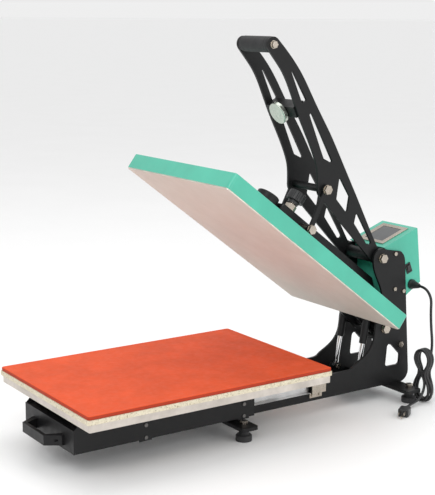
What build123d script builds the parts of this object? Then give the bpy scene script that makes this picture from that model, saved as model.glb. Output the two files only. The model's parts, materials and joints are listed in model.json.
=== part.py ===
from build123d import *
import math
import os

# Clamshell heat press with a slide-out lower platen, 16 x 24 in (400 x 600 mm).
# Stored open: drawer out, upper platen and lever raised.
#
# Layout frame: x is across the press (right is +), y runs back from the lower pad's front
# edge with the drawer out, z is up from the pad's top. write() moves every part from there
# to the part's own frame, whose origin is on the floor, below the middle of the press.

# ---- driving dimensions, mm -------------------------------------------------------------
PLATEN_W = 400.0                 # both platens, across
PLATEN_L = 600.0                 # both platens, front to back
FLOOR_Z = -160.0                 # floor, below the lower pad's top
FRONT_Y = -22.0                  # front of the drawer handle
REAR_Y = 988.0                   # back of the control box
MIDDLE_Y = (FRONT_Y + REAR_Y) / 2

MAST_IN = 62.0                   # inner face of each mast plate, from the middle
MAST_OUT = 68.0
LEVER_IN = 51.0                  # lever plates swing inside the mast plates
LEVER_OUT = 57.0
BEAM_IN = 25.0                   # side plates of the pressure beam
BEAM_OUT = 31.0
LINK_IN = 58.0                   # one toggle link outside each lever plate
LINK_OUT = 64.0
GAP = 0.3                        # between faces that move past each other
RUN = 0.05                       # radial clearance of a shaft in its bush

LEVER_PIVOT = (857.0, 192.0)     # (y, z) of each pivot, press open
PLATEN_PIVOT = (872.0, 19.0)
TOGGLE_TOP = (686.0, 368.0)
TOGGLE_LOW = (642.0, 281.0)
TILT = 36.9                      # upper platen, closed to open, degrees
LEVER_SWING = 63.1               # lever, closed to open, degrees
CLOSED_GAP = 2.7                 # left between the platens' faces for the work

PLATEN_BACK = 791.0              # back edge of the closed upper platen
PLATEN_FRONT = PLATEN_BACK - PLATEN_L
PLATE_T = 12.0                   # heating plate
COVER_LIFT = 2.0                 # cover's rim above the heated face
COVER_TOP = CLOSED_GAP + 38.0
BEAM_TOP = CLOSED_GAP + 104.0
NOSE_TOP = CLOSED_GAP + 76.0
BOLT_R = 6.0                     # main pivot bolts, M12
LEVER_HUB_R = 15.0
PLATEN_HUB_R = 12.0

PAD_T = 8.0
BOARD_T = 10.0
TRAY_T = 16.0
TRAY_BOTTOM = -(PAD_T + BOARD_T + TRAY_T)

RAIL_TOP = -67.0
RAIL_BOTTOM = -122.0
RAIL_FRONT = 405.0
DRAWER_HALF = 110.0
DRAWER_FRONT = 14.0
DRAWER_BACK = 457.0
DRAWER_BOTTOM = -108.0
DRAWER_TRAVEL = 191.0
SHEET = 1.5                      # folded sheet metal

SLIDE_Z = -85.5                  # middle of the telescopic slides
SLIDE_H = 27.0
SLIDE_FRONT = 405.0
SLIDE_L = 235.0
SLIDE_OUT = 79.5                 # outer face of the slides, from the middle

STRUT_X = 41.5
STRUT_FOOT = (813.0, -90.0)
STRUT_HEAD = (847.0, 105.0)

FOOT_X = 109.0
FRONT_FOOT_Y = 430.0
REAR_FOOT_Y = 919.0
STUD_R = 5.0                     # M10 levelling studs
STUD_TOP = RAIL_BOTTOM + 8       # below the drawer's brackets
BAR_T = 8.0
BAR_HALF = 140.0

MAGNET_Y = PLATEN_BACK - 363.4   # magnet's axis, press closed
MAGNET_TOP = CLOSED_GAP + 107.4
KNOB_Y = PLATEN_BACK - 294.0
KNOB_R = 21.0
KNOB_STUD_R = 8.0
MAGNET_R = 27.0
ARMATURE_R = 25.5

BOX_TOP_FRONT = (866.0, 216.0)   # control box, side outline
BOX_TOP_BACK = (970.5, 253.5)
BOX_LOW_BACK = (986.4, 118.5)
BOX_LOW = (942.0, 91.0)
BOX_LOW_FRONT = (892.0, 73.0)
BOX_FRONT = (892.0, 180.0)
BOX_NOSE = (884.0, 205.0)
BOX_WALL = 1.2
BACK_T = 1.6
SWITCH_AT = (946.0, 158.0)
SWITCH_TURN = 22.0
GLAND_AT = (958.0, 117.0)
GLAND_L = 28.0
CORD_D = 6.5


# ---- helpers ----------------------------------------------------------------------------
def yz_face(points, x):
    """A flat face at x, from a closed outline of (y, z) points."""
    return make_face(Plane.YZ.offset(x) * Polyline(*points, close=True))


def yz_plate(points, x0, x1):
    return extrude(yz_face(points, x0), amount=x1 - x0, dir=(1, 0, 0))


def hull_plate(spots, x0, x1):
    """A plate whose outline wraps round discs given as (y, z, radius)."""
    edges = []
    for y, z, r in spots:
        edges += (Pos(y, z) * Circle(r)).edges()
    return extrude(Plane.YZ.offset(x0) * make_hull(edges), amount=x1 - x0, dir=(1, 0, 0))


def rod_x(at, x0, x1, r):
    """A round bar across the press, at (y, z)."""
    return Pos((x0 + x1) / 2, at[0], at[1]) * Rot(0, 90, 0) * Cylinder(r, abs(x1 - x0))


def hex_x(at, x0, x1, flats):
    outline = Plane.YZ.offset(min(x0, x1)) * Pos(*at) * RegularPolygon(flats / 2, 6, major_radius=False)
    return extrude(outline, amount=abs(x1 - x0), dir=(1, 0, 0))


def block(x0, x1, y0, y1, z0, z1):
    return Pos((x0 + x1) / 2, (y0 + y1) / 2, (z0 + z1) / 2) * Box(x1 - x0, y1 - y0, z1 - z0)


def post(x, y, z0, z1, r):
    return Pos(x, y, (z0 + z1) / 2) * Cylinder(r, z1 - z0)


def hex_post(x, y, z0, z1, flats):
    outline = Pos(x, y, z0) * RegularPolygon(flats / 2, 6, major_radius=False)
    return extrude(outline, amount=z1 - z0)


def mirrored(solid):
    return mirror(solid, about=Plane.YZ)


def both(solid):
    return [solid, mirrored(solid)]


def tilt_up(solid):
    """From the closed to the open place of the upper platen."""
    y, z = PLATEN_PIVOT
    return Pos(0, y, z) * Rot(-TILT, 0, 0) * Pos(0, -y, -z) * solid


def between(a, b, t):
    return tuple(p + (q - p) * t for p, q in zip(a, b))


def write(name, *solids):
    to_own_frame = Location((0, -MIDDLE_Y, -FLOOR_Z))
    moved = [to_own_frame * piece for group in solids for piece in Compound([group]).solids()]
    export_step(moved[0] if len(moved) == 1 else Compound(moved), f"parts/{name}.step")


def side_bolt(at, head_flats, head_h, shank_r, shank_in):
    """A hex bolt in the right mast plate, head outside."""
    head = hex_x(at, MAST_OUT, MAST_OUT + head_h, head_flats)
    return head + rod_x(at, MAST_OUT - shank_in, MAST_OUT, shank_r)


# ---- base -------------------------------------------------------------------------------
BOX_BOLTS = [(897.0, 199.0), (899.0, 113.0), (927.0, 105.0)]
TIE_AT = (923.0, -27.0)
STOP_SCREWS = [(652.0, -108.0), (674.0, -108.0)]


def mast_plate():
    """Upright and rail cut from one plate; the front edge runs down in a long curve to the rail."""
    plane = Plane.YZ.offset(MAST_IN)
    outline = [
        Line((711, RAIL_TOP), (RAIL_FRONT, RAIL_TOP)),
        Line((RAIL_FRONT, RAIL_TOP), (RAIL_FRONT, RAIL_BOTTOM)),
        Line((RAIL_FRONT, RAIL_BOTTOM), (931, RAIL_BOTTOM)),
        ThreePointArc((931, RAIL_BOTTOM), (947, -111), (952, -92)),
        Line((952, -92), (930, 175)),
        ThreePointArc((930, 175), (926, 191), (915, 203)),
        Line((915, 203), (867, 212)),
        ThreePointArc((867, 212), (838, 210), (830, 187)),
        Spline((830, 187), (834, 165), (852, 128), (861, 98), (856, 64), (844, 34), (841, 8), (821, -33),
               (781, -57), (711, RAIL_TOP), tangents=[(0, -1), (-1, 0)]),
    ]
    plate = extrude(plane * make_face(outline), amount=MAST_OUT - MAST_IN, dir=(1, 0, 0))
    window = [(889, -29, 8), (915, -55, 8), (914, -69, 8), (885, -69, 8)]
    plate -= hull_plate(window, MAST_IN, MAST_OUT)
    for at, r in [(LEVER_PIVOT, BOLT_R), (PLATEN_PIVOT, BOLT_R), (TIE_AT, 4.0)]:
        plate -= rod_x(at, MAST_IN, MAST_OUT, r)
    for at in BOX_BOLTS:
        plate -= rod_x(at, MAST_IN, MAST_OUT, 3.0)
    for at in STOP_SCREWS:
        plate -= rod_x(at, MAST_IN, MAST_OUT, 2.0)
    return plate


def pivot_bolt(at):
    """A through bolt between the mast plates, hex at each end."""
    shaft = rod_x(at, -MAST_OUT, MAST_OUT, BOLT_R)
    for side in (-1, 1):
        shaft += rod_x(at, side * MAST_OUT, side * (MAST_OUT + 1.5), 11)
        shaft += hex_x(at, side * (MAST_OUT + 1.5), side * (MAST_OUT + 8), 19)
    return shaft


def foot_bar(front_edge, back_edge, foot_y):
    bar = block(-BAR_HALF, BAR_HALF, front_edge, back_edge, RAIL_BOTTOM - BAR_T, RAIL_BOTTOM)
    bar = fillet(bar.edges().filter_by(Axis.Z), 6)
    for x in (-FOOT_X, FOOT_X):
        bar -= post(x, foot_y, RAIL_BOTTOM - BAR_T, RAIL_BOTTOM, STUD_R)
    return bar


def levelling_foot(x, y):
    """Round foot on an M10 stud that turns in the bar and its lock nut."""
    pad = chamfer(post(x, y, FLOOR_Z, FLOOR_Z + 15, 18).edges().sort_by(Axis.Z)[-1], 3)
    neck = Pos(x, y, FLOOR_Z + 19) * Cone(13, 9, 8)
    return pad + neck + post(x, y, FLOOR_Z + 20, STUD_TOP, STUD_R - RUN)


def foot_lock_nut(x, y):
    nut = hex_post(x, y, RAIL_BOTTOM, RAIL_BOTTOM + 7, 16)
    return nut - post(x, y, RAIL_BOTTOM, RAIL_BOTTOM + 7, STUD_R)


def base_cross_plate(y0, y1):
    """Shallow channel welded between the rails."""
    channel = block(-MAST_IN, MAST_IN, y0, y1, RAIL_BOTTOM, RAIL_BOTTOM + 4)
    for y in (y0, y1 - 4):
        channel += block(-MAST_IN, MAST_IN, y, y + 4, RAIL_BOTTOM + 4, RAIL_BOTTOM + 14)
    return channel


def mast_tie():
    return rod_x(TIE_AT, -MAST_IN, MAST_IN, 9) - rod_x(TIE_AT, -MAST_IN, MAST_IN, 4.0)


def mast_fasteners():
    bolts = []
    for at in BOX_BOLTS:
        bolts += both(side_bolt(at, 9, 3.5, 3.0, 12))
    bolts += both(side_bolt(TIE_AT, 13, 5, 4.0, 30))
    for at in STOP_SCREWS:
        bolts += both(rod_x(at, MAST_IN, MAST_OUT + 2, 2.0) + rod_x(at, MAST_OUT + 2, MAST_OUT + 4.5, 4))
    return bolts


def strut_bracket(x):
    y, z = STRUT_FOOT
    deck_z = RAIL_BOTTOM + 4
    bracket = block(x - 10, x + 10, y - 16, y + 16, deck_z, deck_z + 3)
    for side in (-1, 1):
        x0, x1 = sorted((x + side * 6.5, x + side * 9.5))
        ear = hull_plate([(y - 10, deck_z + 4, 3), (y + 10, deck_z + 4, 3), (y, z, 9)], x0, x1)
        bracket += ear - block(x0, x1, y - 20, y + 20, deck_z - 5, deck_z)
    return bracket - rod_x(STRUT_FOOT, x - 12, x + 12, 4.0)


def strut_pin(x):
    pin = rod_x(STRUT_FOOT, x - 9.5, x + 9.5, 4.0)
    return pin + hex_x(STRUT_FOOT, x - 13, x - 9.5, 13) + hex_x(STRUT_FOOT, x + 9.5, x + 13, 13)


def slide_member(x_web, x_lip, front, half_h, t, web_outside=False):
    """A C section along y; the web is its flat face towards the rail, or away from it."""
    y1 = front + SLIDE_L
    body = block(x_web, x_lip, front, y1, SLIDE_Z - half_h, SLIDE_Z + half_h)
    x0, x1 = (x_web, x_lip - t) if web_outside else (x_web + t, x_lip)
    return body - block(x0, x1, front, y1, SLIDE_Z - half_h + t, SLIDE_Z + half_h - t)


def slide_outer():
    return slide_member(MAST_OUT, SLIDE_OUT - 0.5, SLIDE_FRONT, SLIDE_H / 2, 1.4)


def slide_middle():
    front = SLIDE_FRONT - DRAWER_TRAVEL / 2
    return slide_member(MAST_OUT + 1.8, SLIDE_OUT - 0.5, front, SLIDE_H / 2 - 1.8, 1.4)


def slide_inner():
    front = SLIDE_FRONT - DRAWER_TRAVEL - 5
    return slide_member(MAST_OUT + 3.8, SLIDE_OUT, front, SLIDE_H / 2 - 3.6, 1.6, web_outside=True)


def slide_stop():
    """Folded bracket behind each slide that stops the drawer."""
    y0, y1 = 642, 682
    x1, z0, z1 = 82, -114, -70
    hat = block(x1 - 2, x1, y0, y1, z0 + 14, z1)
    hat += block(MAST_OUT, x1, y0, y1, z1 - 2, z1)
    hat += block(MAST_OUT, x1, y0, y1, z0 + 14, z0 + 16)
    hat += block(MAST_OUT, MAST_OUT + 2, y0 + 2, y1 - 2, z0, z0 + 16)
    for at in STOP_SCREWS:
        hat -= rod_x(at, MAST_OUT, MAST_OUT + 2, 2.0)
    return hat


SLOPE = math.degrees(math.atan2(BOX_TOP_BACK[1] - BOX_TOP_FRONT[1], BOX_TOP_BACK[0] - BOX_TOP_FRONT[0]))
PANEL_MIDDLE = between(BOX_TOP_FRONT, BOX_TOP_BACK, 0.5)
BEZEL = (88.0, 87.0)
SCREEN = (64.0, 65.0)


def on_panel(solid):
    """Places a piece drawn flat about the origin onto the sloping top."""
    return Pos(0, *PANEL_MIDDLE) * Rot(SLOPE, 0, 0) * solid


def control_box_shell():
    """Folded shell, open at the back."""
    outline = [BOX_TOP_FRONT, BOX_TOP_BACK, BOX_LOW_BACK, BOX_LOW, BOX_LOW_FRONT, BOX_FRONT, BOX_NOSE]
    face = yz_face(outline, 0)
    shell = extrude(face, amount=MAST_IN, dir=(1, 0, 0), both=True)
    shell -= extrude(offset(face, amount=-BOX_WALL), amount=MAST_IN - BOX_WALL, dir=(1, 0, 0), both=True)
    opening = [between(BOX_TOP_BACK, BOX_LOW_BACK, 0.03), between(BOX_TOP_BACK, BOX_LOW_BACK, 0.97)]
    opening += [(opening[1][0] - 4, opening[1][1]), (opening[0][0] - 4, opening[0][1])]
    shell -= yz_plate(opening, -MAST_IN + 4, MAST_IN - 4)
    shell -= on_panel(Box(SCREEN[0] + 2.4, SCREEN[1] + 2.4, 12))
    for at in BOX_BOLTS:
        shell -= rod_x(at, -MAST_IN, MAST_IN, 3.0)
    shell -= switch_place(Box(16, 13, 21.6))
    return shell - rod_x(GLAND_AT, MAST_IN - 3, MAST_IN, 6)


def control_box_cover():
    (y0, z0), (y1, z1) = BOX_TOP_BACK, BOX_LOW_BACK
    return yz_plate([(y0, z0), (y1, z1), (y1 + BACK_T, z1), (y0 + BACK_T, z0)], -MAST_IN, MAST_IN)


def panel_bezel():
    frame = Pos(0, 0, 1.25) * Box(BEZEL[0], BEZEL[1], 2.5) - Box(SCREEN[0], SCREEN[1], 12)
    return on_panel(frame)


def touch_screen():
    """Glass in the bezel's window, on a display module behind it."""
    glass = Pos(0, 0, 0.8) * Box(SCREEN[0], SCREEN[1], 1.6)
    return on_panel(glass + Pos(0, 0, -4.5) * Box(SCREEN[0] + 2, SCREEN[1] + 2, 9))


def control_board():
    board = Pos(0, 7, -16) * Box(90, 72, 1.6)
    for sx in (-1, 1):
        for y in (-25, 39):
            board += Pos(sx * 40, y, -8.2) * Cylinder(2.5, 14)
    board += Pos(-18, 14, -13.2) * Box(22, 22, 4)
    board += Pos(22, -6, -13.2) * Box(16, 28, 4)
    return on_panel(board)


def power_relay():
    """Solid-state relay and magnet supply, on the box's front wall."""
    y = BOX_LOW_FRONT[0] + BOX_WALL
    return block(-48, -4, y, y + 26, 100, 150) + block(-4, 40, y, y + 22, 100, 140)


def switch_place(solid):
    """Places a switch piece, drawn about the origin with its face up +x, in the side wall."""
    return Pos(MAST_IN, *SWITCH_AT) * Rot(SWITCH_TURN, 0, 0) * solid


def switch_housing():
    flange = switch_place(Pos(1.25, 0, 0) * Box(2.5, 17, 25))
    body = switch_place(Pos(-7, 0, 0) * Box(14, 13, 21.6))
    inside = switch_place(Pos(-2.5, 0, 0) * Box(13, 10.6, 19))
    return (flange + body) - inside


def switch_rocker():
    """Rocker at its off position, leaning ten degrees about its own middle."""
    key = Box(5, 9.6, 17)
    key = fillet(key.edges().filter_by(Axis.Y), 1.2)
    return switch_place(Pos(1.6, 0, 0) * Rot(0, 10, 0) * key)


def cable_gland():
    """Gland body with a tapered strain relief, lock nut inside the wall."""
    profile = [(0, 0), (12, 0), (12, 5), (10, 8), (9, 14), (5.2, GLAND_L), (0, GLAND_L)]
    gland = revolve(make_face(Plane.XZ * Polyline(*profile, close=True)), axis=Axis.Z)
    gland += Pos(0, 0, -1.5) * Cylinder(6, 3)
    gland += extrude(Pos(0, 0, -6.2) * RegularPolygon(8, 6, major_radius=False), amount=5)
    return Pos(MAST_IN, *GLAND_AT) * Rot(0, 90, 0) * gland


CORD_DROP = [(90, 958, 117), (104.5, 958, 117), (117.8, 958, 111.5), (128, 957.8, 101.3), (133.5, 957.5, 88),
             (133.5, 957, 62), (131.5, 962, 25), (130, 968.8, -11), (130, 968.8, -34)]
CORD_TAIL = [(134.5, 945, -108), (143, 935, -124), (147.5, 921, -139), (147.5, 903, -149), (150, 885, -150),
             (159.9, 870, -150)]
HANK_Y = (941.0, 965.0)
TIE_Z = (-93.0, -83.0)
TIE_X = (112.0, 138.0)


def corner_radii(points):
    """0.45 of the shorter run over the tangent of half the turn, at each corner."""
    radii = []
    for a, b, c in zip(points, points[1:], points[2:]):
        run_in, run_out = Vector(*b) - Vector(*a), Vector(*c) - Vector(*b)
        half_turn = math.radians(run_in.get_angle(run_out)) / 2
        radii.append(0.45 * min(run_in.length, run_out.length) / math.tan(half_turn))
    return radii


def cord_tube(points):
    radii = corner_radii(points)
    path = FilletPolyline(*points, radius=radii)
    start = Plane(origin=points[0], z_dir=path % 0)
    tube = sweep(start * Circle(CORD_D / 2), path=path)
    section = math.pi * CORD_D ** 2 / 4
    print("cord radii", [round(r, 1) for r in radii], "length", round(path.length, 1),
          "volume ratio", round(tube.volume / (section * path.length), 4))
    return tube


def hank():
    """Outer shape of the tied hank, standing on the floor: loops above the tie, a fan of loops below."""
    outline = [(90, FLOOR_Z), (148, FLOOR_Z), (157, -143), (156, -119), (134, -94), (134, -82), (152, -65),
               (152, -46), (138, -31), (114, -31), (101, -46), (101, -65), (116, -82), (116, -94), (81, -119),
               (80, -143)]
    face = Plane.XZ.offset(-HANK_Y[1]) * make_face(Polyline(*outline, close=True))
    return extrude(face, amount=HANK_Y[1] - HANK_Y[0], dir=(0, -1, 0))


def cord_tie(hank_solid):
    """Twist tie round the hank's waist."""
    return block(*TIE_X, HANK_Y[0] - 1.5, HANK_Y[1] + 1.5, *TIE_Z) - hank_solid


PLUG_FROM = CORD_TAIL[-1]
PLUG_AIM = math.degrees(math.atan2(PLUG_FROM[1] - CORD_TAIL[-2][1], PLUG_FROM[0] - CORD_TAIL[-2][0]))


def on_plug(solid):
    """Places a piece drawn along +x from the cord's end."""
    return Pos(*PLUG_FROM) * Rot(0, 0, PLUG_AIM) * solid


def plug():
    """Moulded three-pin plug: tapered relief, body, two flat blades and a round earth pin."""
    relief_l, body_l, blade_l = 24, 30, 16
    end = relief_l + body_l
    relief = Pos(relief_l / 2, 0, 0) * Rot(0, 90, 0) * Cone(CORD_D / 2 + 0.6, 7, relief_l)
    body = fillet((Pos(relief_l + body_l / 2, 0, 0) * Box(body_l, 25, 20)).edges(), 4)
    blades = [Pos(end + blade_l / 2 - 1, side * 6.3, 3) * Box(blade_l + 2, 1.5, 6.4) for side in (-1, 1)]
    ground = Pos(end + blade_l / 2 - 1, 0, -5) * Rot(0, 90, 0) * Cylinder(2.4, blade_l + 2)
    return on_plug(relief + body + blades[0] + blades[1] + ground)


DRAWER_SCREWS = [(181, -77), (181, -104), (429, -77), (429, -104)]
HANDLE_SCREWS = (-62, 62)


def drawer_shell():
    """Folded sheet skirt: front panel with a deep lip, and two sides that rise behind it."""
    x, lip, lip_depth = DRAWER_HALF, -58, 38
    side = yz_plate([(DRAWER_FRONT, DRAWER_BOTTOM), (DRAWER_BACK, DRAWER_BOTTOM), (DRAWER_BACK, TRAY_BOTTOM),
                     (40, TRAY_BOTTOM), (DRAWER_FRONT + 2, lip), (DRAWER_FRONT, lip)], x - SHEET, x)
    shell = side + mirrored(side)
    shell += block(-x, x, DRAWER_FRONT, DRAWER_FRONT + SHEET, DRAWER_BOTTOM, lip)
    shell += block(-x, x, DRAWER_FRONT, DRAWER_FRONT + lip_depth, lip - SHEET, lip)
    for at in DRAWER_SCREWS:
        shell -= rod_x(at, -x, x, 2.5)
    for hx in HANDLE_SCREWS:
        shell -= Pos(hx, DRAWER_FRONT, -88.5) * Rot(90, 0, 0) * Cylinder(2.5, 6)
    return shell


def drawer_top():
    """Plate between the sides, under the tray."""
    x = DRAWER_HALF - SHEET
    return block(-x, x, 44, DRAWER_BACK, TRAY_BOTTOM - 3, TRAY_BOTTOM)


def drawer_runner():
    """Angle between a slide's inner member and the top plate."""
    top = TRAY_BOTTOM - 3
    runner = block(SLIDE_OUT, SLIDE_OUT + 2.5, 209, 445, SLIDE_Z - 12, top)
    return runner + block(SLIDE_OUT, 98, 209, 445, top - 2.5, top)


def drawer_bracket(y0, y1):
    """Folded bracket from the runner's side to the skirt, which takes two side screws."""
    x0, x1 = SLIDE_OUT + 2.5, DRAWER_HALF - SHEET
    middle = (y0 + y1) / 2
    bracket = block(x1 - 2, x1, y0, y1, -112, -68)
    bracket += block(x0, x0 + 2, y0, y1, -97, -68)
    bracket += block(x0, x1, y0, y0 + 2, -97, -68)
    bracket -= rod_x((middle, -77), x1 - 2, x1, 2.5)
    return bracket - rod_x((middle, -104), x1 - 2, x1, 2.5)


def drawer_brackets():
    pieces = []
    for y0, y1 in ((166, 196), (414, 444)):
        pieces += both(drawer_bracket(y0, y1))
    return pieces


def drawer_handle():
    """Flat-bar pull, bent outwards with chamfered corners."""
    t, z0, z1, y = 8.0, -99, -78, DRAWER_FRONT
    outer = [(-70, y), (-70, y - 6), (-66, y - 9), (-49, FRONT_Y)]
    outer += [(49, FRONT_Y), (66, y - 9), (70, y - 6), (70, y)]
    inner = [(54, y), (43, FRONT_Y + t), (-43, FRONT_Y + t), (-54, y)]
    bar = extrude(Plane.XY.offset(z0) * make_face(Polyline(*(outer + inner), close=True)), amount=z1 - z0)
    for hx in HANDLE_SCREWS:
        bar -= Pos(hx, y, -88.5) * Rot(90, 0, 0) * Cylinder(2.5, 60)
    return bar


def drawer_screws():
    x = DRAWER_HALF
    screws = []
    for at in DRAWER_SCREWS:
        screws += both(rod_x(at, x - 8, x, 2.5) + rod_x(at, x, x + 2, 4.2))
    for hx in HANDLE_SCREWS:
        screws.append(Pos(hx, DRAWER_FRONT, -88.5) * Rot(90, 0, 0) * Cylinder(2.5, 10))
    return screws


def lower_tray():
    """Folded metal tray, open below, with two stiffening channels that rest on the drawer."""
    w, y0, y1 = PLATEN_W / 2 - 2, 3, PLATEN_L - 2
    z1, t = TRAY_BOTTOM + TRAY_T, 2.0
    tray = fillet(block(-w, w, y0, y1, TRAY_BOTTOM, z1).edges().filter_by(Axis.Z), 3)
    tray -= block(-w + t, w - t, y0 + t, y1 - t, TRAY_BOTTOM, z1 - t)
    for side in (-1, 1):
        x0, x1 = sorted((side * 70, side * 106))
        tray += block(x0, x1, 24, 580, TRAY_BOTTOM, z1 - t)
        tray -= block(x0 + t, x1 - t, 24, 580, TRAY_BOTTOM + t, z1 - t)
    return tray


def pad_board():
    w = PLATEN_W / 2 + 1
    return fillet(block(-w, w, -1.5, PLATEN_L + 1, -PAD_T - BOARD_T, -PAD_T).edges().filter_by(Axis.Z), 4)


def silicone_pad():
    w = PLATEN_W / 2
    pad = fillet(block(-w, w, 0, PLATEN_L, -PAD_T, 0).edges().filter_by(Axis.Z), 6)
    return fillet(pad.edges().group_by(Axis.Z)[-1], 1.5)


HOLD_DOWN = [(x, y) for y in (470, 580, 700) for x in (-15, 15)]


def platen_cover():
    t = 1.5
    w = PLATEN_W / 2
    z0 = CLOSED_GAP + COVER_LIFT
    cover = block(-w, w, PLATEN_FRONT, PLATEN_BACK, z0, COVER_TOP)
    cover = fillet(cover.edges().filter_by(Axis.Z), 8)
    cover = fillet(cover.edges().group_by(Axis.Z)[-1], 2.5)
    inside = block(-w + t, w - t, PLATEN_FRONT + t, PLATEN_BACK - t, z0, COVER_TOP - t)
    cover -= fillet(inside.edges().filter_by(Axis.Z), 6.5)
    for x, y in HOLD_DOWN:
        cover -= post(x, y, COVER_TOP - t - 1, COVER_TOP + 1, 4.0)
    return cover


def heating_plate():
    edge = 2.0
    plate = block(-PLATEN_W / 2 + edge, PLATEN_W / 2 - edge, PLATEN_FRONT + edge, PLATEN_BACK - edge,
                  CLOSED_GAP, CLOSED_GAP + PLATE_T)
    plate = fillet(plate.edges().filter_by(Axis.Z), 6)
    for x, y in HOLD_DOWN:
        plate -= post(x, y, CLOSED_GAP + 5, CLOSED_GAP + PLATE_T, 4.0)
    return plate


def heating_element():
    """Serpentine rod on the heating plate's back, seven runs from front to back."""
    r, pitch = 4.0, 50.0
    y0, y1 = PLATEN_FRONT + 40, PLATEN_BACK - 50
    z = CLOSED_GAP + PLATE_T + r
    corners = []
    for i in range(7):
        ends = (y0, y1) if i % 2 == 0 else (y1, y0)
        corners += [(-150 + i * pitch, y, z) for y in ends]
    path = FilletPolyline(*corners, radius=pitch / 2 - 0.5)
    return sweep(Plane(origin=corners[0], z_dir=path % 0) * Circle(r), path=path)


def insulation_blanket():
    z0 = CLOSED_GAP + PLATE_T + 8.2
    blanket = block(-192, 192, PLATEN_FRONT + 8, PLATEN_BACK - 8, z0, COVER_TOP - SHEET)
    for x, y in HOLD_DOWN:
        blanket -= post(x, y, z0, COVER_TOP, 4.0)
    return blanket


def pressure_beam():
    """Two side plates on a base plate, reaching back to the platen pivot, bridged on top."""
    py, pz = PLATEN_PIVOT
    rear = PLATEN_BACK + 6
    tip = MAGNET_Y - 37
    step_y = PLATEN_BACK - 334
    outline = [(tip, COVER_TOP), (rear, COVER_TOP), (rear, 8), (py - 4, pz - 19.6), (py + 12.3, pz + 15.8),
               (PLATEN_BACK + 25, CLOSED_GAP + 85), (PLATEN_BACK, BEAM_TOP), (step_y, BEAM_TOP),
               (step_y - 11, NOSE_TOP), (tip, NOSE_TOP)]
    plate = yz_plate(outline, BEAM_IN, BEAM_OUT) + rod_x(PLATEN_PIVOT, BEAM_IN, BEAM_OUT, 20)
    plate -= rod_x(PLATEN_PIVOT, BEAM_IN, BEAM_OUT, PLATEN_HUB_R)
    beam = plate + mirrored(plate)
    beam += block(-BEAM_OUT - 12, BEAM_OUT + 12, tip, PLATEN_BACK - 8, COVER_TOP, COVER_TOP + 5)
    beam += block(-BEAM_IN, BEAM_IN, KNOB_Y - 40, KNOB_Y + 44, BEAM_TOP - 8, BEAM_TOP)
    beam += block(-BEAM_IN, BEAM_IN, tip, MAGNET_Y + 34, NOSE_TOP - 8, NOSE_TOP)
    for side in (-1, 1):
        beam += rod_x(strut_head_closed(), side * BEAM_OUT, side * (STRUT_X - 5.3 - GAP), 6)
    for x, y in HOLD_DOWN:
        beam -= post(x, y, COVER_TOP, COVER_TOP + 5, 4.0)
    beam -= rod_x(toggle_low_closed(), -BEAM_OUT, BEAM_OUT, 9)
    beam -= post(0, KNOB_Y, BEAM_TOP - 8, BEAM_TOP, KNOB_STUD_R + RUN)
    return beam - post(0, MAGNET_Y, NOSE_TOP - 8, NOSE_TOP, 5)


def toggle_cross_shaft():
    """Shaft through the beam's side plates that the links' lower eyes push on."""
    reach = LINK_IN - GAP
    return rod_x(toggle_low_closed(), -reach, reach, 9)


def turned(at, about, degrees):
    """A (y, z) point turned about another, counter-clockwise with y right and z up."""
    a = math.radians(degrees)
    dy, dz = at[0] - about[0], at[1] - about[1]
    return (about[0] + dy * math.cos(a) - dz * math.sin(a), about[1] + dy * math.sin(a) + dz * math.cos(a))


def toggle_low_closed():
    return turned(TOGGLE_LOW, PLATEN_PIVOT, TILT)


def strut_head_closed():
    return turned(STRUT_HEAD, PLATEN_PIVOT, TILT)


def hub_tube(at, r):
    """Bush across the press that turns on its pivot bolt."""
    reach = MAST_IN - GAP
    return rod_x(at, -reach, reach, r) - rod_x(at, -reach, reach, BOLT_R + RUN)


def electromagnet():
    """Round pot magnet on the beam's nose, with its screw."""
    pot = chamfer(post(0, MAGNET_Y, NOSE_TOP, MAGNET_TOP, MAGNET_R).edges().group_by(Axis.Z)[-1], 2)
    ring = post(0, MAGNET_Y, MAGNET_TOP - 1.5, MAGNET_TOP, 20)
    pot -= ring - post(0, MAGNET_Y, MAGNET_TOP - 1.5, MAGNET_TOP, 12)
    pot += post(0, MAGNET_Y, NOSE_TOP - 8, NOSE_TOP, 5)
    return pot + hex_post(0, MAGNET_Y, NOSE_TOP - 14, NOSE_TOP - 8, 13)


def platen_bolts():
    """Studs with nuts that hold the heating plate to the beam."""
    bolts = []
    for x, y in HOLD_DOWN:
        stud = post(x, y, CLOSED_GAP + 5, COVER_TOP + 14, 4.0)
        bolts.append(stud + hex_post(x, y, COVER_TOP + 5, COVER_TOP + 11, 13))
    return bolts


def pressure_nut():
    """Large nut on the bridge that the pressure stud turns in."""
    nut = hex_post(0, KNOB_Y, BEAM_TOP, BEAM_TOP + 18, 24)
    return nut - post(0, KNOB_Y, BEAM_TOP, BEAM_TOP + 18, KNOB_STUD_R + RUN)


def pressure_stud():
    """Threaded stud, fixed in the knob."""
    return post(0, KNOB_Y, BEAM_TOP - 14, BEAM_TOP + 46, KNOB_STUD_R)


def pressure_knob():
    """Ribbed knob on the stud."""
    z0, z1, r = BEAM_TOP + 29, BEAM_TOP + 51, KNOB_R
    knob = fillet(post(0, KNOB_Y, z0, z1, r).edges().group_by(Axis.Z)[-1], 3)
    for i in range(12):
        a = math.radians(30 * i)
        knob -= post((r + 1) * math.cos(a), KNOB_Y + (r + 1) * math.sin(a), z0, z1, 2.8)
    knob += post(0, KNOB_Y, z0 - 8, z0, 13)
    return knob - post(0, KNOB_Y, z0 - 8, BEAM_TOP + 46, KNOB_STUD_R)


GRIP_AT = (535.0, 692.0)
ARMATURE_AT = turned((MAGNET_Y, MAGNET_TOP + GAP), LEVER_PIVOT, -LEVER_SWING)


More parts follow.
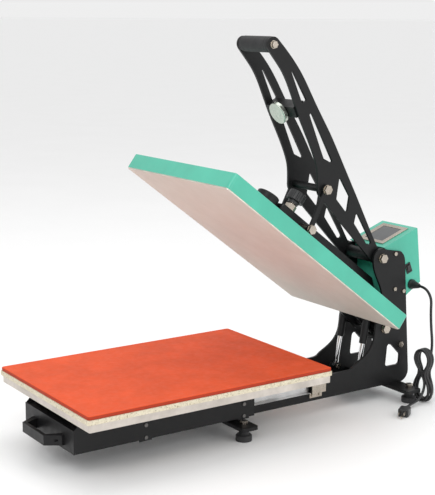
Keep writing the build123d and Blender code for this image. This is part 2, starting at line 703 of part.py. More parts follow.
def lever_plate():
    """Long curved side plate: grip at its tip, toggle boss at its elbow, hub at its foot."""
    plane = Plane.YZ.offset(LEVER_IN)
    outline = [
        Spline((521.7, 681.4), (561, 633), (589, 578), (606, 540), (639, 475), (659, 428), (665, 368),
               tangents=[(0.62, -0.78), (0, -1)]),
        ThreePointArc((665, 368), (666.5, 360.1), (670.9, 353.4)),
        Line((670.9, 353.4), (841.9, 177.4)),
        ThreePointArc((841.9, 177.4), (877, 185.7), (853, 212.6)),
        Spline((853, 212.6), (832, 249), (792, 324), (743, 413), (697, 495), (652, 566), (614, 628),
               (571, 680), (546.1, 704.9)),
        ThreePointArc((546.1, 704.9), (523.2, 704.2), (521.7, 681.4)),
    ]
    plate = extrude(plane * make_face(outline), amount=LEVER_OUT - LEVER_IN, dir=(1, 0, 0))
    slots = [
        [(587, 633, 2), (617.5, 567.5, 3), (624.5, 571, 3)],
        [(640, 537.5, 2.5), (643, 537.5, 2.5), (675.5, 456, 3), (682.5, 440.5, 3), (702, 431, 3)],
        [(730, 386.5, 3), (724.5, 344, 4), (750.5, 315.5, 4), (755.5, 345, 4)],
        [(783.5, 299, 4), (780.5, 283, 5), (819, 232, 5), (824, 231, 5)],
    ]
    for slot in slots:
        plate -= hull_plate(slot, LEVER_IN, LEVER_OUT)
    plate -= rod_x(LEVER_PIVOT, LEVER_IN, LEVER_OUT, LEVER_HUB_R)
    plate -= rod_x(TOGGLE_TOP, LEVER_IN, LEVER_OUT, BOLT_R)
    return plate - rod_x(GRIP_AT, LEVER_IN, LEVER_OUT, 4.0)


def lever_grip():
    grip = fillet(rod_x(GRIP_AT, -LEVER_IN, LEVER_IN, 17.5).edges(), 2)
    return grip - rod_x(GRIP_AT, -LEVER_IN, LEVER_IN, 6)


def grip_rod():
    """Steel rod in the grip, held by a bolt at each end."""
    rod = rod_x(GRIP_AT, -LEVER_IN, LEVER_IN, 6)
    for side in (-1, 1):
        rod += rod_x(GRIP_AT, side * LEVER_IN, side * LEVER_OUT, 4.0)
        rod += rod_x(GRIP_AT, side * LEVER_OUT, side * (LEVER_OUT + 1.5), 9)
        rod += hex_x(GRIP_AT, side * (LEVER_OUT + 1.5), side * (LEVER_OUT + 7), 14)
    return rod


def toggle_bolt():
    """Bolt through both lever plates and the links' upper eyes, hex at each end."""
    end = LINK_OUT + GAP
    bolt = rod_x(TOGGLE_TOP, -end, end, BOLT_R)
    for side in (-1, 1):
        bolt += rod_x(TOGGLE_TOP, side * LEVER_OUT, side * (LINK_IN - GAP), 10)
        bolt += rod_x(TOGGLE_TOP, side * end, side * (end + 1.5), 11)
        bolt += hex_x(TOGGLE_TOP, side * (end + 1.5), side * (end + 7), 19)
    return bolt


def toggle_tube():
    return rod_x(TOGGLE_TOP, -LEVER_IN, LEVER_IN, 8.5) - rod_x(TOGGLE_TOP, -LEVER_IN, LEVER_IN, BOLT_R)


def aim_armature(solid):
    """Places a piece drawn above the origin, face down, at the armature's open place."""
    return Pos(0, *ARMATURE_AT) * Rot(-LEVER_SWING, 0, 0) * solid


def magnet_bracket():
    """Channel welded between the lever plates, which carries the armature's screw."""
    width, depth, t = 26, 32, 4
    bar = Pos(0, 0, 14) * Box(2 * LEVER_IN, width, t)
    for side in (-1, 1):
        bar += Pos(0, side * (width - t) / 2, 28) * Box(2 * LEVER_IN, t, depth)
        bar += Pos(side * (LEVER_IN - t / 2), 0, 28) * Box(t, width, depth)
    return aim_armature(bar - Pos(0, 0, 14) * Cylinder(5, 8))


def armature():
    disc = Pos(0, 0, 5) * Cylinder(ARMATURE_R, 10)
    disc = chamfer(disc.edges().group_by(Axis.Z)[0], 1)
    return aim_armature(disc - Pos(0, 0, 7.5) * Cylinder(5, 5))


def armature_screw():
    nut = extrude(Pos(0, 0, 16) * RegularPolygon(8, 6, major_radius=False), amount=8)
    return aim_armature(Pos(0, 0, 18.5) * Cylinder(5, 27) + nut)


# ---- toggle links -----------------------------------------------------------------------
LINK_EYE_R = 11.0
LINK_WAIST_R = 6.0


def link_bar():
    """Slim bar with a round eye at each end."""
    link = hull_plate([(*TOGGLE_TOP, LINK_WAIST_R), (*TOGGLE_LOW, LINK_WAIST_R)], LINK_IN, LINK_OUT)
    link += rod_x(TOGGLE_TOP, LINK_IN, LINK_OUT, LINK_EYE_R)
    link += rod_x(TOGGLE_LOW, LINK_IN, LINK_OUT, LINK_EYE_R)
    link -= rod_x(TOGGLE_TOP, LINK_IN, LINK_OUT, BOLT_R + RUN)
    return link - rod_x(TOGGLE_LOW, LINK_IN, LINK_OUT, 5.0)


def link_bolt():
    """Bolt in the link's lower eye."""
    bolt = rod_x(TOGGLE_LOW, LINK_IN, LINK_OUT, 5.0)
    bolt += rod_x(TOGGLE_LOW, LINK_OUT, LINK_OUT + 1.5, 11)
    return bolt + hex_x(TOGGLE_LOW, LINK_OUT + 1.5, LINK_OUT + 8, 19)


# ---- gas struts -------------------------------------------------------------------------
STRUT_L = math.dist(STRUT_FOOT, STRUT_HEAD)
STRUT_LEAN = math.degrees(math.atan2(STRUT_HEAD[1] - STRUT_FOOT[1], STRUT_HEAD[0] - STRUT_FOOT[0])) - 90
ROD_R = 5.5
COLLAR_Z = 75.0                  # cylinder's lower end, above the strut's foot


def on_strut(x, solid):
    """Places a piece drawn up the z axis, foot at the origin."""
    return Pos(x, *STRUT_FOOT) * Rot(STRUT_LEAN, 0, 0) * solid


def strut_rod(x):
    """Eye, neck, rod and piston head."""
    profile = [(0, 3), (6, 3), (6, 16), (ROD_R, 17), (ROD_R, 127), (6.9, 127), (6.9, 131), (0, 131)]
    rod = revolve(make_face(Plane.XZ * Polyline(*profile, close=True)), axis=Axis.Z)
    eye = Rot(0, 90, 0) * Cylinder(9, 10.4)
    return on_strut(x, rod + eye - Rot(0, 90, 0) * Cylinder(4.0 + RUN, 12))


def strut_cylinder(x, side):
    tube = Pos(0, 0, (COLLAR_Z + 180) / 2) * Cylinder(9, 180 - COLLAR_Z)
    tube -= Pos(0, 0, (COLLAR_Z + 175) / 2) * Cylinder(ROD_R + RUN, 175 - COLLAR_Z)
    tube -= Pos(0, 0, 131) * Cylinder(7, 88)
    neck = Pos(0, 0, 184) * Cylinder(5, 10)
    eye = Pos(0, 0, STRUT_L) * Rot(0, 90, 0) * Cylinder(9, 10.4)
    bolt = Pos(side * 6.7, 0, STRUT_L) * Rot(0, 90, 0) * Cylinder(6, 3)
    return on_strut(x, tube + neck + eye + bolt)


# ---- write every part -------------------------------------------------------------------
def write_base(feet):
    plate = mast_plate()
    write("mast_plate_right", plate)
    write("mast_plate_left", mirrored(plate))
    write("front_foot_bar", foot_bar(RAIL_FRONT, 448, FRONT_FOOT_Y))
    write("rear_foot_bar", foot_bar(885, 930, REAR_FOOT_Y))
    write("base_cross_plates", base_cross_plate(470, 530), base_cross_plate(770, 870),
          strut_bracket(-STRUT_X), strut_bracket(STRUT_X))
    write("mast_tie_tube", mast_tie())
    nuts = [foot_lock_nut(x, y) for name, x, y in feet]
    write("base_fasteners", *mast_fasteners(), strut_pin(-STRUT_X), strut_pin(STRUT_X), *nuts)
    write("main_pivot_bolts", pivot_bolt(LEVER_PIVOT), pivot_bolt(PLATEN_PIVOT))
    write("slide_outer_members", *both(slide_outer()))
    write("slide_stop_brackets", *both(slide_stop()))
    for name, x, y in feet:
        write(name, levelling_foot(x, y))


def write_control_box():
    write("control_box_shell", control_box_shell())
    write("control_box_back_cover", control_box_cover())
    write("panel_bezel", panel_bezel())
    write("touch_screen", touch_screen())
    write("control_electronics", control_board(), power_relay())
    write("switch_housing", switch_housing())
    write("switch_rocker", switch_rocker())
    write("cable_gland", cable_gland())
    hank_solid = hank()
    write("power_cord", cord_tube(CORD_DROP), cord_tube(CORD_TAIL))
    write("cord_hank", hank_solid)
    write("cord_tie", cord_tie(hank_solid))
    write("plug", plug())


def write_drawer():
    write("drawer_shell", drawer_shell())
    write("drawer_top_plate", drawer_top())
    write("drawer_runners", *both(drawer_runner()), *drawer_brackets())
    write("drawer_handle", drawer_handle())
    write("drawer_screws", *drawer_screws())
    write("slide_inner_members", *both(slide_inner()))
    write("slide_middle_members", *both(slide_middle()))
    write("lower_tray", lower_tray())
    write("pad_board", pad_board())
    write("silicone_pad", silicone_pad())


def write_platen():
    write("platen_cover", tilt_up(platen_cover()))
    write("heating_plate", tilt_up(heating_plate()))
    write("heating_element", tilt_up(heating_element()))
    write("insulation_blanket", tilt_up(insulation_blanket()))
    write("pressure_beam", tilt_up(pressure_beam()))
    write("toggle_cross_shaft", tilt_up(toggle_cross_shaft()))
    write("beam_pivot_tube", hub_tube(PLATEN_PIVOT, PLATEN_HUB_R))
    write("electromagnet", tilt_up(electromagnet()))
    write("platen_fasteners", *[tilt_up(bolt) for bolt in platen_bolts()], tilt_up(pressure_nut()))
    write("pressure_stud", tilt_up(pressure_stud()))
    write("pressure_knob", tilt_up(pressure_knob()))


def write_lever():
    plate = lever_plate()
    write("lever_plate_right", plate)
    write("lever_plate_left", mirrored(plate))
    write("lever_grip", lever_grip())
    write("toggle_bolt", toggle_bolt())
    write("toggle_tube", toggle_tube())
    write("lever_hub_tube", hub_tube(LEVER_PIVOT, LEVER_HUB_R))
    write("magnet_bracket", magnet_bracket())
    write("armature_disc", armature())
    write("lever_fasteners", grip_rod(), armature_screw())
    write("link_bars", *both(link_bar()))
    write("link_bolts", *both(link_bolt()))
    write("strut_rods", strut_rod(-STRUT_X), strut_rod(STRUT_X))
    write("strut_cylinders", strut_cylinder(-STRUT_X, -1), strut_cylinder(STRUT_X, 1))


os.makedirs("parts", exist_ok=True)
write_base([("foot_front_right", FOOT_X, FRONT_FOOT_Y), ("foot_front_left", -FOOT_X, FRONT_FOOT_Y),
            ("foot_rear_right", FOOT_X, REAR_FOOT_Y), ("foot_rear_left", -FOOT_X, REAR_FOOT_Y)])
write_control_box()
write_drawer()
write_platen()
write_lever()
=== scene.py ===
import json
import math

import bpy
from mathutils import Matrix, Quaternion, Vector


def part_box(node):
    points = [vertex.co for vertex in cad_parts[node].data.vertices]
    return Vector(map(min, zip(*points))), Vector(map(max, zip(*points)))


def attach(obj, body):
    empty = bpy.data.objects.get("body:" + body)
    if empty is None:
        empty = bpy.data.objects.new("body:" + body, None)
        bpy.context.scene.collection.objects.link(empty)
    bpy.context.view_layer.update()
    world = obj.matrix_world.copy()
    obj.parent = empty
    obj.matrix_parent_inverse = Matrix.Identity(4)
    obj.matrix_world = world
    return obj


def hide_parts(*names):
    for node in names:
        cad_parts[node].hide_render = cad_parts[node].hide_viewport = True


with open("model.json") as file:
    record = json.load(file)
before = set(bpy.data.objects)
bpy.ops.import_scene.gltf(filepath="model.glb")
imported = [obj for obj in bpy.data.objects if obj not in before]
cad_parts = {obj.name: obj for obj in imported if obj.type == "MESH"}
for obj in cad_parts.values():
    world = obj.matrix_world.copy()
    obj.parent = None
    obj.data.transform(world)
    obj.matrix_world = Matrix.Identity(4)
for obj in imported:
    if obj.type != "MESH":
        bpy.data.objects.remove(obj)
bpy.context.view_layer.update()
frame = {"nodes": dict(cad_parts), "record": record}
NODES = frame["nodes"]


# ---- camera -----------------------------------------------------------------------------
CAMERA_AT = (2.12617, -1.50253, 0.91018)
CAMERA_YAW = math.radians(55.684)
CAMERA_PITCH = math.radians(10.964)
CAMERA_ROLL = math.radians(0.351)
LENS_MM = 86.73
SENSOR_MM = 36.0
FAR_CLIP = 1500.0


def make_camera():
    camera = bpy.data.objects.new("camera", bpy.data.cameras.new("camera"))
    bpy.context.scene.collection.objects.link(camera)
    camera.location = CAMERA_AT
    flat = math.cos(CAMERA_PITCH)
    back = Vector((math.sin(CAMERA_YAW) * flat, -math.cos(CAMERA_YAW) * flat, math.sin(CAMERA_PITCH)))
    camera.rotation_mode = "QUATERNION"
    camera.rotation_quaternion = (-back).to_track_quat("-Z", "Y") @ Quaternion((0, 0, 1), CAMERA_ROLL)
    camera.data.lens = LENS_MM
    camera.data.sensor_width = SENSOR_MM
    camera.data.clip_end = FAR_CLIP
    bpy.context.scene.camera = camera


# ---- cord -------------------------------------------------------------------------------
CORD_R = 0.00325
EXIT = (0.090, 0.475, 0.277)
# From the gland down behind the hank.
DROP = [EXIT, (0.1045, 0.475, 0.277), (0.1178, 0.475, 0.2715), (0.128, 0.4748, 0.2613),
        (0.1335, 0.4745, 0.248), (0.1335, 0.474, 0.222), (0.1315, 0.479, 0.185),
        (0.130, 0.4858, 0.149), (0.130, 0.4858, 0.126)]
# From the front of the hank to the floor and along it to the plug.
TAIL = [(0.1345, 0.462, 0.052), (0.143, 0.452, 0.036), (0.1475, 0.438, 0.021), (0.1475, 0.420, 0.011),
        (0.150, 0.402, 0.010), (0.1599, 0.387, 0.010)]
WAIST = (0.125, 0.4784, 0.072)      # where the tie holds the first turn
WAIST_HALF = 0.0075
TURN_STEP = 0.0056                  # between neighbouring turns, back to front
HANK_START = (0.1275, 0.4836, 0.098)
HANK_END = (0.1245, 0.4602, 0.071)
# Each turn: middle and half width of its lower loop, middle of its upper loop, along x.
TURNS = [(0.120, 0.0265, 0.1235), (0.1165, 0.0245, 0.1235), (0.1305, 0.0250, 0.127),
         (0.125, 0.0255, 0.126)]
TOP_HALF = 0.0215                   # half width of every upper loop
# Points of the loops: share of the half width, height.
LOW_LOOP = [(-1, 0.0425), (-1, 0.0190), (-0.42, 0.0045), (0.42, 0.0045), (1, 0.0190), (1, 0.0425)]
TOP_LOOP = [(1, 0.0965), (1, 0.1155), (0.42, 0.1280), (-0.42, 0.1280), (-1, 0.1155), (-1, 0.0965)]


def turn_outline(low_x, low_half, top_x):
    """One turn as (x, z) points: down from the waist's left side, round, and over the top."""
    outline = [(WAIST[0] - WAIST_HALF, WAIST[2])]
    outline += [(low_x + share * low_half, z) for share, z in LOW_LOOP]
    outline.append((WAIST[0] + WAIST_HALF, WAIST[2]))
    return outline + [(top_x + share * TOP_HALF, z) for share, z in TOP_LOOP]


def hank_points():
    """The turns one after another, each a step nearer the front than the last."""
    points = [HANK_START]
    for i, turn in enumerate(TURNS):
        outline = turn_outline(*turn)
        for k, (x, z) in enumerate(outline):
            points.append((x, WAIST[1] - TURN_STEP * (i + k / len(outline)), z))
    points.append(HANK_END)
    return points


def nurbs_curve(name, points, radius):
    """Round wire that runs near the control points and ends on the first and last."""
    data = bpy.data.curves.new(name, "CURVE")
    data.dimensions = "3D"
    spline = data.splines.new("NURBS")
    spline.points.add(len(points) - 1)
    for point, at in zip(spline.points, points):
        point.co = (*at, 1.0)
    spline.order_u = 3
    spline.use_endpoint_u = True
    spline.resolution_u = 12
    data.bevel_depth = radius
    data.bevel_resolution = 6
    data.use_fill_caps = True
    curve = bpy.data.objects.new(name, data)
    bpy.context.scene.collection.objects.link(curve)
    return curve


def make_cord(material):
    cord = nurbs_curve("power_lead", DROP + hank_points() + TAIL, CORD_R)
    cord.data.materials.append(material)
    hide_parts("power_cord", "cord_hank")
    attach(cord, "base")
    return cord


# ---- materials --------------------------------------------------------------------------
def new_material(name):
    material = bpy.data.materials.new(name)
    material.use_nodes = True
    tree = material.node_tree
    return material, tree, tree.nodes["Principled BSDF"]


def object_coords(tree, scale=(1, 1, 1)):
    coords = tree.nodes.new("ShaderNodeTexCoord")
    mapping = tree.nodes.new("ShaderNodeMapping")
    mapping.inputs["Scale"].default_value = scale
    tree.links.new(coords.outputs["Object"], mapping.inputs["Vector"])
    return mapping.outputs["Vector"]


def noise(tree, vector, scale, detail=4.0, roughness=0.55):
    node = tree.nodes.new("ShaderNodeTexNoise")
    node.inputs["Scale"].default_value = scale
    node.inputs["Detail"].default_value = detail
    node.inputs["Roughness"].default_value = roughness
    tree.links.new(vector, node.inputs["Vector"])
    return node.outputs["Fac"]


def ramp(tree, factor, stops):
    """Colour ramp through (position, colour) stops; a number stands for a grey."""
    node = tree.nodes.new("ShaderNodeValToRGB")
    elements = node.color_ramp.elements
    while len(elements) < len(stops):
        elements.new(0.5)
    for element, (position, colour) in zip(elements, stops):
        element.position = position
        element.color = (*colour, 1.0) if isinstance(colour, tuple) else (colour, colour, colour, 1.0)
    tree.links.new(factor, node.inputs["Fac"])
    return node.outputs["Color"]


def feed(tree, shader, socket, factor, stops):
    """Leads a factor through a ramp into one of the shader's sockets."""
    tree.links.new(ramp(tree, factor, stops), shader.inputs[socket])


def mix(tree, factor, a, b):
    node = tree.nodes.new("ShaderNodeMix")
    node.data_type = "RGBA"
    tree.links.new(factor, node.inputs["Factor"])
    tree.links.new(a, node.inputs["A"])
    tree.links.new(b, node.inputs["B"])
    return node.outputs["Result"]


def bump(tree, shader, height, strength, distance=0.0002):
    node = tree.nodes.new("ShaderNodeBump")
    node.inputs["Strength"].default_value = strength
    node.inputs["Distance"].default_value = distance
    tree.links.new(height, node.inputs["Height"])
    tree.links.new(node.outputs["Normal"], shader.inputs["Normal"])


def shade(colour, factor):
    return tuple(min(1.0, c * factor) for c in colour)


def powder_coat(name, colour, rough, grain, strength, coat=0.0, shine=0.5):
    """Sprayed coat: fine orange peel, faint clouding, scattered duller spots."""
    material, tree, shader = new_material(name)
    vector = object_coords(tree)
    clouds = noise(tree, vector, 9.0)
    feed(tree, shader, "Base Color", clouds, [(0.3, shade(colour, 0.90)), (0.7, shade(colour, 1.08))])
    smears = noise(tree, vector, 55.0, 6.0)
    feed(tree, shader, "Roughness", smears, [(0.35, rough - 0.05), (0.7, rough + 0.10)])
    bump(tree, shader, noise(tree, vector, grain, 2.0), strength)
    shader.inputs["Coat Weight"].default_value = coat
    shader.inputs["Specular IOR Level"].default_value = shine
    return material


def metal(name, colour, rough, streak=(1, 1, 1), scale=260.0, strength=0.12):
    """Bare or plated metal: streaks along one axis, cloudy lustre."""
    material, tree, shader = new_material(name)
    grain = noise(tree, object_coords(tree, streak), scale, 5.0)
    clouds = noise(tree, object_coords(tree), 28.0, 5.0)
    feed(tree, shader, "Base Color", clouds, [(0.3, shade(colour, 0.82)), (0.72, shade(colour, 1.12))])
    feed(tree, shader, "Roughness", grain, [(0.3, rough - 0.06), (0.75, rough + 0.12)])
    shader.inputs["Metallic"].default_value = 1.0
    bump(tree, shader, grain, strength, 0.0001)
    return material


def speckled_board(name):
    """Pressed board: cream ground with pale and tan flecks and a few dark ones."""
    material, tree, shader = new_material(name)
    vector = object_coords(tree)
    flecks = ramp(tree, noise(tree, vector, 330.0, 5.0, 0.7),
                  [(0.37, (0.12, 0.09, 0.06)), (0.43, (0.60, 0.52, 0.37)), (0.56, (0.74, 0.68, 0.53))])
    patches = ramp(tree, noise(tree, vector, 60.0, 4.0),
                   [(0.35, (0.56, 0.49, 0.36)), (0.65, (0.76, 0.70, 0.56))])
    patchiness = ramp(tree, noise(tree, vector, 140.0, 3.0), [(0.42, 0.15), (0.6, 0.65)])
    tree.links.new(mix(tree, patchiness, flecks, patches), shader.inputs["Base Color"])
    shader.inputs["Roughness"].default_value = 0.85
    bump(tree, shader, noise(tree, vector, 420.0, 5.0), 0.5, 0.0004)
    return material


def silicone(name, colour):
    """Foamed silicone: dense matte skin with tiny pores and slight mottling."""
    material, tree, shader = new_material(name)
    vector = object_coords(tree)
    mottle = noise(tree, vector, 16.0, 6.0)
    feed(tree, shader, "Base Color", mottle, [(0.32, shade(colour, 0.90)), (0.7, shade(colour, 1.07))])
    feed(tree, shader, "Roughness", noise(tree, vector, 90.0, 4.0), [(0.3, 0.55), (0.7, 0.72)])
    shader.inputs["Specular IOR Level"].default_value = 0.22
    bump(tree, shader, noise(tree, vector, 1600.0, 3.0), 0.35, 0.0002)
    return material


def woven_sheet(name, colour):
    """Coated glass cloth: plain weave under a smooth skin."""
    material, tree, shader = new_material(name)
    vector = object_coords(tree)
    clouds = noise(tree, vector, 7.0, 5.0)
    feed(tree, shader, "Base Color", clouds, [(0.3, shade(colour, 0.93)), (0.7, shade(colour, 1.06))])
    threads = []
    for direction in ("X", "Y"):
        wave = tree.nodes.new("ShaderNodeTexWave")
        wave.bands_direction = direction
        wave.inputs["Scale"].default_value = 420.0
        tree.links.new(vector, wave.inputs["Vector"])
        threads.append(wave.outputs["Fac"])
    weave = tree.nodes.new("ShaderNodeMath")
    weave.operation = "MULTIPLY"
    tree.links.new(threads[0], weave.inputs[0])
    tree.links.new(threads[1], weave.inputs[1])
    bump(tree, shader, weave.outputs["Value"], 0.12, 0.0001)
    feed(tree, shader, "Roughness", noise(tree, vector, 40.0), [(0.3, 0.45), (0.7, 0.6)])
    return material


def rubber(name, colour, rough, grain=700.0, strength=0.3):
    """Moulded rubber or plastic, foam or wool, by its grain: clouded, with a pebbled skin."""
    material, tree, shader = new_material(name)
    vector = object_coords(tree)
    clouds = noise(tree, vector, 60.0, 5.0)
    feed(tree, shader, "Base Color", clouds, [(0.3, shade(colour, 0.8)), (0.75, shade(colour, 1.35))])
    feed(tree, shader, "Roughness", noise(tree, vector, 120.0), [(0.3, rough - 0.06), (0.7, rough + 0.1)])
    bump(tree, shader, noise(tree, vector, grain, 4.0), strength, 0.0003)
    return material


def dark_glass(name):
    """Display glass: near-black in soft bands, with faint finger marks."""
    material, tree, shader = new_material(name)
    vector = object_coords(tree)
    bands = noise(tree, vector, 35.0, 2.0)
    feed(tree, shader, "Base Color", bands, [(0.35, (0.010, 0.012, 0.014)), (0.7, (0.035, 0.04, 0.045))])
    feed(tree, shader, "Roughness", noise(tree, vector, 180.0), [(0.3, 0.06), (0.8, 0.14)])
    shader.inputs["Coat Weight"].default_value = 0.6
    return material


def circuit(name):
    """Circuit board: green lacquer, lighter over the copper."""
    material, tree, shader = new_material(name)
    copper = noise(tree, object_coords(tree), 300.0, 2.0)
    feed(tree, shader, "Base Color", copper, [(0.45, (0.01, 0.11, 0.04)), (0.55, (0.05, 0.27, 0.10))])
    shader.inputs["Roughness"].default_value = 0.4
    return material


BLACK = (0.0085, 0.0085, 0.0090)
GREEN = (0.064, 0.455, 0.325)
MATERIALS = {
    "black_steel": powder_coat("black_powder_coat", BLACK, 0.40, 1100.0, 0.35, shine=0.26),
    "green_sheet": powder_coat("green_enamel", GREEN, 0.34, 900.0, 0.15, 0.25),
    "zinc": metal("zinc_plate", (0.50, 0.445, 0.38), 0.24),
    "black_oxide": metal("black_oxide_steel", (0.16, 0.155, 0.15), 0.32),
    "chrome_rod": metal("chromed_rod", (0.82, 0.82, 0.83), 0.10, (1, 1, 0.1)),
    "slide_steel": metal("slide_steel", (0.60, 0.60, 0.60), 0.30, (1, 0.05, 1)),
    "tray_metal": metal("tray_sheet", (0.62, 0.57, 0.52), 0.42, (0.06, 0.06, 1), 220.0, 0.25),
    "board": speckled_board("pressed_board"),
    "silicone": silicone("silicone_foam", (0.74, 0.092, 0.024)),
    "ptfe_face": woven_sheet("coated_cloth_face", (0.61, 0.56, 0.49)),
    "element": metal("element_sheath", (0.30, 0.27, 0.25), 0.55),
    "blanket": rubber("insulation_wool", (0.55, 0.52, 0.45), 0.9, 300.0, 0.9),
    "grip_foam": rubber("grip_foam", (0.018, 0.018, 0.019), 0.62, 900.0, 0.6),
    "black_plastic": rubber("black_moulding", (0.016, 0.016, 0.017), 0.38, 1200.0, 0.2),
    "screen_glass": dark_glass("display_glass"),
    "circuit": circuit("circuit_board"),
    "rubber_foot": rubber("foot_rubber", (0.02, 0.02, 0.021), 0.55),
    "cord_rubber": rubber("cord_sheath", (0.014, 0.014, 0.015), 0.36, 600.0, 0.15),
    "armature_steel": metal("armature_plate", (0.52, 0.56, 0.50), 0.28, (1, 1, 1), 150.0),
}


# ---- CAD pieces -------------------------------------------------------------------------
WELD_GAP = 0.00001
FLAT_ANGLE = math.radians(0.6)      # neighbouring faces that differ by less become one
EDGE_WIDTH = 0.0006
EDGE_ANGLE = math.radians(35)       # sharper corners than this are softened


def finish_cad_node(node, material):
    """Gives a CAD node its material, softened edges and smooth round faces."""
    node.data.materials.clear()
    node.data.materials.append(material)
    weld = node.modifiers.new("weld", "WELD")
    weld.merge_threshold = WELD_GAP
    flat = node.modifiers.new("flat", "DECIMATE")
    flat.decimate_type = "DISSOLVE"
    flat.angle_limit = FLAT_ANGLE
    edge = node.modifiers.new("edge", "BEVEL")
    edge.width = EDGE_WIDTH
    edge.segments = 2
    edge.limit_method = "ANGLE"
    edge.angle_limit = EDGE_ANGLE
    for polygon in node.data.polygons:
        polygon.use_smooth = True
    normals = node.modifiers.new("normals", "WEIGHTED_NORMAL")
    normals.weight = 80


def dress_cad_nodes():
    slots = {row["node"]: row["material_slot"] for row in frame["record"]["subparts"]}
    for name, node in NODES.items():
        finish_cad_node(node, MATERIALS[slots[name]])


PLUG_BODY = 0.0545                  # from the cord's end to where the blades begin


def paint_blades(material):
    """Bare metal on the part of the plug beyond its moulded body."""
    plug = NODES["plug"]
    plug.data.materials.append(material)
    start = Vector(TAIL[-1])
    aim = (start - Vector(TAIL[-2])).normalized()
    for polygon in plug.data.polygons:
        if (plug.matrix_world @ polygon.center - start).dot(aim) > PLUG_BODY:
            polygon.material_index = 1


FACE_TILT = math.radians(36.9)      # of the heated face, from level
FACE_NORMAL = Vector((0, -math.sin(FACE_TILT), -math.cos(FACE_TILT)))
SQUARE_ON = 0.9                     # a normal with this share along the face's points its way


def paint_where(name, material, test):
    """Second material on the node's polygons whose normal, taken along the heated face's, passes."""
    node = NODES[name]
    node.data.materials.append(material)
    for polygon in node.data.polygons:
        if test((node.matrix_world.to_3x3() @ polygon.normal).dot(FACE_NORMAL)):
            polygon.material_index = 1


def paint_bare_rim_and_highlight(material):
    """Pale metal colour on the heating plate's sides and on the cover's rim round the face: partly the
    bare cut edge, mostly a painted highlight line along the face's edge.
    """
    paint_where("heating_plate", material, lambda along: abs(along) < SQUARE_ON)
    paint_where("platen_cover", material, lambda along: along > SQUARE_ON)


# ---- silicone pad and grip --------------------------------------------------------------
def mesh_piece(name, points, faces, material):
    mesh = bpy.data.meshes.new(name)
    mesh.from_pydata(points, [], faces)
    mesh.materials.append(material)
    for polygon in mesh.polygons:
        polygon.use_smooth = True
    piece = bpy.data.objects.new(name, mesh)
    bpy.context.scene.collection.objects.link(piece)
    return piece


def rounded_outline(half_x, half_y, radius, steps):
    """Points of a rounded rectangle about the origin, counter-clockwise."""
    outline = []
    for k, (sx, sy) in enumerate(((1, 1), (-1, 1), (-1, -1), (1, -1))):
        for i in range(steps + 1):
            a = math.pi / 2 * (k + i / steps)
            x, y = sx * (half_x - radius), sy * (half_y - radius)
            outline.append((x + radius * math.cos(a), y + radius * math.sin(a)))
    return outline


def lofted(rings):
    """Vertices and quads through equal rings, with the first and last ring capped."""
    count = len(rings[0])
    points = [point for ring in rings for point in ring]
    faces = [tuple(reversed(range(count)))]
    for r in range(len(rings) - 1):
        for i in range(count):
            j = (i + 1) % count
            faces.append((r * count + i, r * count + j, (r + 1) * count + j, (r + 1) * count + i))
    faces.append(tuple(range((len(rings) - 1) * count, len(rings) * count)))
    return points, faces


# Rings of the pad from its underside up and in: inset from the outline, drop below the top.
PAD_SIDE = [(0.0025, 0.0080), (0.0006, 0.0076), (0.0, 0.0064), (0.0001, 0.0040), (0.0, 0.0018)]
PAD_RIM = [(0.0004, 0.0008), (0.0012, 0.0002), (0.0022, 0.0), (0.0040, 0.0), (0.0052, 0.0002)]
PAD_TOP = [(0.0068, 0.0005), (0.012, 0.0006), (0.030, 0.0005), (0.070, 0.0006), (0.120, 0.0005)]
PAD_CORNER_R = 0.006
PAD_LEAST_R = 0.0015
PAD_LEVEL = 0.7                     # polygons whose normal rises less than this are the pad's sides, coloured darker as painted shade


def make_pad(material, side_shade_material):
    """Moulded silicone sheet: rounded rim, a faint lip inside it, and a top that settles a little; its
    sides carry a darker copy of the silicone as painted shade.
    """
    low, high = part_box("silicone_pad")
    middle = (low + high) / 2
    half_x, half_y = (high.x - low.x) / 2, (high.y - low.y) / 2
    rings = []
    for inset, drop in PAD_SIDE + PAD_RIM + PAD_TOP:
        corner_r = max(PAD_CORNER_R - inset, PAD_LEAST_R)
        outline = rounded_outline(half_x - inset, half_y - inset, corner_r, 6)
        rings.append([(middle.x + x, middle.y + y, high.z - drop) for x, y in outline])
    pad = mesh_piece("silicone_sheet", *lofted(rings), material)
    # darker silicone on the sideways-facing polygons: painted shade, not a different material
    pad.data.materials.append(side_shade_material)
    for polygon in pad.data.polygons:
        if abs(polygon.normal.z) < PAD_LEVEL:
            polygon.material_index = 1
    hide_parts("silicone_pad")
    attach(pad, "drawer")


# Rings of the grip's end with its moulded groove: distance in from the end, share of the radius.
GRIP_END = [(0.0, 0.42), (0.0, 0.86), (0.0008, 0.94), (0.0024, 0.985), (0.0045, 0.998), (0.0066, 0.998),
            (0.0074, 0.972), (0.0086, 0.972), (0.0094, 0.996)]
GRIP_PLAIN = 0.012                  # from the end to the dimpled middle
GRIP_STEPS = 60
GRIP_SIDES = 96
GRIP_SKIN = 0.998                   # share of the radius
DIMPLE = 0.006                      # share of the radius
DIMPLED = (0.9, 0.99)               # rings between these shares of the radius carry dimples


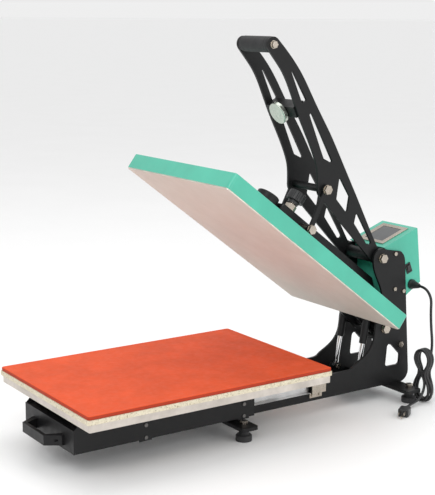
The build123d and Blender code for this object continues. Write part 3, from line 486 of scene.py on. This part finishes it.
def make_grip(material):
    """Foam sleeve: rounded ends, a moulded groove near each end, fine dimples all round."""
    low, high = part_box("lever_grip")
    middle = (low + high) / 2
    radius, half = (high.z - low.z) / 2, (high.x - low.x) / 2
    dimpled = 2 * (half - GRIP_PLAIN)
    stations = [(-half + inset, share) for inset, share in GRIP_END]
    for k in range(GRIP_STEPS + 1):
        stations.append((-half + GRIP_PLAIN + dimpled * k / GRIP_STEPS, GRIP_SKIN - 2 * DIMPLE * (k % 2)))
    stations += [(half - inset, share) for inset, share in reversed(GRIP_END)]
    rings = []
    for s, (x, share) in enumerate(stations):
        ring = []
        for i in range(GRIP_SIDES):
            a = 2 * math.pi * i / GRIP_SIDES
            dimple = DIMPLE * ((i + s) % 2) if DIMPLED[0] < share < DIMPLED[1] else 0.0
            r = radius * (share - dimple)
            ring.append((middle.x + x, middle.y + r * math.cos(a), middle.z + r * math.sin(a)))
        rings.append(ring)
    grip = mesh_piece("foam_sleeve", *lofted(rings), material)
    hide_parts("lever_grip")
    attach(grip, "lever")


# ---- tie --------------------------------------------------------------------------------
TIE_WIRE_R = 0.0011
TIE_HALF = 0.0116                   # half width of the loop round the hank
TIE_INSET = 0.0012                  # of the wire's middle from the front and back of its CAD box
TIE_CLIMB = 0.006                   # from the start of the first wrap to the end of the last
TIE_WRAPS = 2
WRAP_POINTS = 12
# The bent end, measured from where the last wrap stops.
TIE_END = [(0.001, -0.006, 0.003), (0.004, -0.010, 0.009), (0.009, -0.011, 0.019)]


def make_tie(material):
    """Wire tie wrapped twice round the hank's waist, its end bent up and away."""
    low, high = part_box("cord_tie")
    middle = (low + high) / 2
    half_y = (high.y - low.y) / 2 - TIE_INSET
    steps = TIE_WRAPS * WRAP_POINTS
    points = []
    for k in range(steps + 1):
        a = 2 * math.pi * k / WRAP_POINTS
        z = middle.z + TIE_CLIMB * (k / steps - 0.5)
        points.append((middle.x + TIE_HALF * math.cos(a), middle.y + half_y * math.sin(a), z))
    x, y, z = points[-1]
    points += [(x + dx, y + dy, z + dz) for dx, dy, dz in TIE_END]
    tie = nurbs_curve("wire_tie", points, TIE_WIRE_R)
    tie.data.materials.append(material)
    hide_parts("cord_tie")
    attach(tie, "base")
    return tie


# ---- stage ------------------------------------------------------------------------------
FLOOR_HALF = 400.0
WORLD_STRENGTH = 0.86


def area_light(name, at, aim, size, watts):
    light = bpy.data.lights.new(name, "AREA")
    light.energy = watts
    light.size = size
    lamp = bpy.data.objects.new(name, light)
    lamp.location = at
    lamp.rotation_euler = (Vector(aim) - Vector(at)).to_track_quat("-Z", "Y").to_euler()
    bpy.context.scene.collection.objects.link(lamp)


def make_floor():
    corners_flat = [(-FLOOR_HALF, -FLOOR_HALF, 0), (FLOOR_HALF, -FLOOR_HALF, 0),
                    (FLOOR_HALF, FLOOR_HALF, 0), (-FLOOR_HALF, FLOOR_HALF, 0)]
    mesh = bpy.data.meshes.new("floor")
    mesh.from_pydata(corners_flat, [], [(0, 1, 2, 3)])
    floor = bpy.data.objects.new("floor", mesh)
    bpy.context.scene.collection.objects.link(floor)
    material, tree, shader = new_material("floor_paper")
    clouds = noise(tree, object_coords(tree), 3.0)
    feed(tree, shader, "Base Color", clouds, [(0.3, 0.955), (0.7, 0.97)])
    shader.inputs["Roughness"].default_value = 0.8
    shader.inputs["Specular IOR Level"].default_value = 0.1
    mesh.materials.append(material)


def make_world():
    world = bpy.data.worlds.new("studio")
    world.use_nodes = True
    background = world.node_tree.nodes["Background"]
    background.inputs["Color"].default_value = (1, 1, 1, 1)
    background.inputs["Strength"].default_value = WORLD_STRENGTH
    bpy.context.scene.world = world


def make_stage():
    make_floor()
    make_world()
    area_light("key", (2.2, -2.6, 3.0), (0, 0, 0.3), 2.0, 44)
    area_light("fill", (2.8, 0.9, 1.2), (0, 0.2, 0.4), 1.8, 14)
    area_light("top", (-0.6, 0.2, 3.2), (0, 0, 0.3), 2.4, 22)
    bpy.context.scene.view_settings.view_transform = "Standard"


make_camera()
lead = make_cord(MATERIALS["cord_rubber"])
dress_cad_nodes()
paint_blades(MATERIALS["zinc"])
# the pale cream rim is a painted highlight line along the face's edge, partly the bare cut edge
paint_bare_rim_and_highlight(metal("bare_rim_and_highlight", (0.86, 0.83, 0.76), 0.45))
# the darker silicone on the pad's sides is painted shade
make_pad(MATERIALS["silicone"], silicone("silicone_painted_side_shade", (0.40, 0.040, 0.014)))
make_grip(MATERIALS["grip_foam"])
tie = make_tie(MATERIALS["black_plastic"])
make_stage()

bpy.context.view_layer.update()
